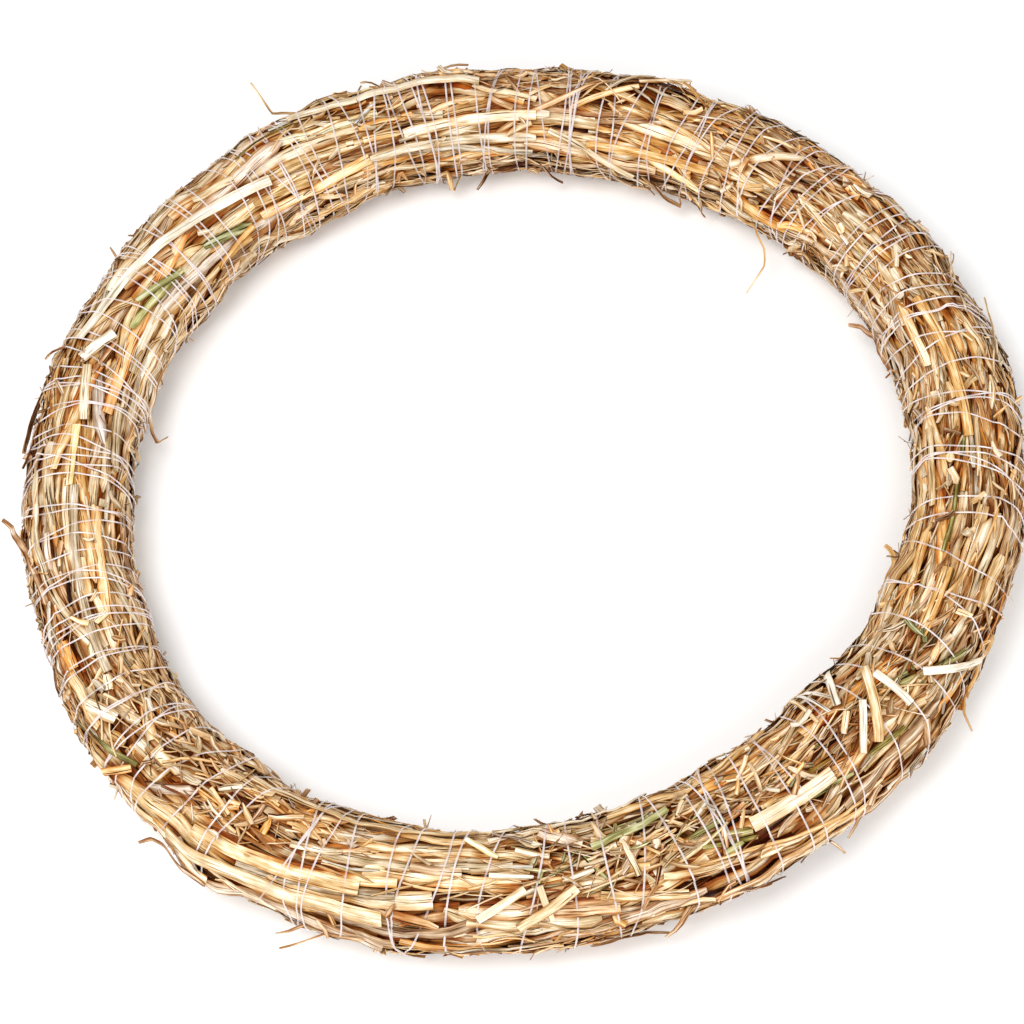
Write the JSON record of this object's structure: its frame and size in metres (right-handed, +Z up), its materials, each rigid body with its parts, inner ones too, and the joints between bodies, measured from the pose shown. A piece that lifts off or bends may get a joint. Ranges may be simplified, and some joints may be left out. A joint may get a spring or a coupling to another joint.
{
  "type": "straw wreath",
  "caption": "Round wreath ring of bound straw wound with clear thread, a base for decoration that lies flat.",
  "frame": {"origin": "middle of the ring, on the surface that the wreath lies on", "axes": "+Z up through the ring's hole; +Y away from the viewer of the picture, +X to the viewer's right"},
  "size_m": [0.5128, 0.5082, 0.0594],
  "materials": {
    "bound_straw": "dry split straw in many tones, matt in the creases with a soft silky sheen on flat stems",
    "pale_straw": "bleached straw, silky sheen, fine lengthwise fibres",
    "tan_straw": "tan straw, dull, fine lengthwise fibres",
    "honey_straw": "honey-yellow straw, silky sheen",
    "grey_straw": "weathered grey-brown straw, matt",
    "green_straw": "straw that is still green, matt",
    "brown_leaf": "dry brown leaf and chaff, matt",
    "clear_thread": "clear plastic thread, slightly milky, glossy"
  },
  "bodies": {
    "root": {"straw_ring": "bound_straw", "winding_thread": "clear_thread", "broad_pale_straw": "pale_straw", "broad_tan_straw": "tan_straw", "second_tan_straw": "tan_straw", "cream_straw": "pale_straw", "honey_straw": "honey_straw", "green_leaf": "green_straw", "amber_straw": "honey_straw", "grey_straw": "grey_straw", "inner_straw": "bound_straw", "top_straw": "pale_straw", "kinked_stalk": "tan_straw", "hanging_stalk": "honey_straw", "right_stalk": "pale_straw", "curled_leaf": "brown_leaf", "hooked_curl": "tan_straw", "brown_leaf": "brown_leaf", "low_brown_leaf": "brown_leaf", "dark_spike": "brown_leaf", "inner_spike": "bound_straw", "second_inner_spike": "bound_straw", "edge_spike": "pale_straw", "low_stalk": "tan_straw", "second_low_stalk": "tan_straw", "front_spike": "tan_straw", "second_front_spike": "bound_straw", "third_front_spike": "bound_straw", "right_curl": "tan_straw", "orange_flake": "honey_straw", "crossing_straw": "honey_straw", "second_crossing_straw": "pale_straw", "third_crossing_straw": "pale_straw", "fourth_crossing_straw": "bound_straw", "edge_straw": "pale_straw", "forked_straw": "pale_straw", "second_forked_straw": "pale_straw", "third_forked_straw": "bound_straw"}
  },
  "joints": []
}
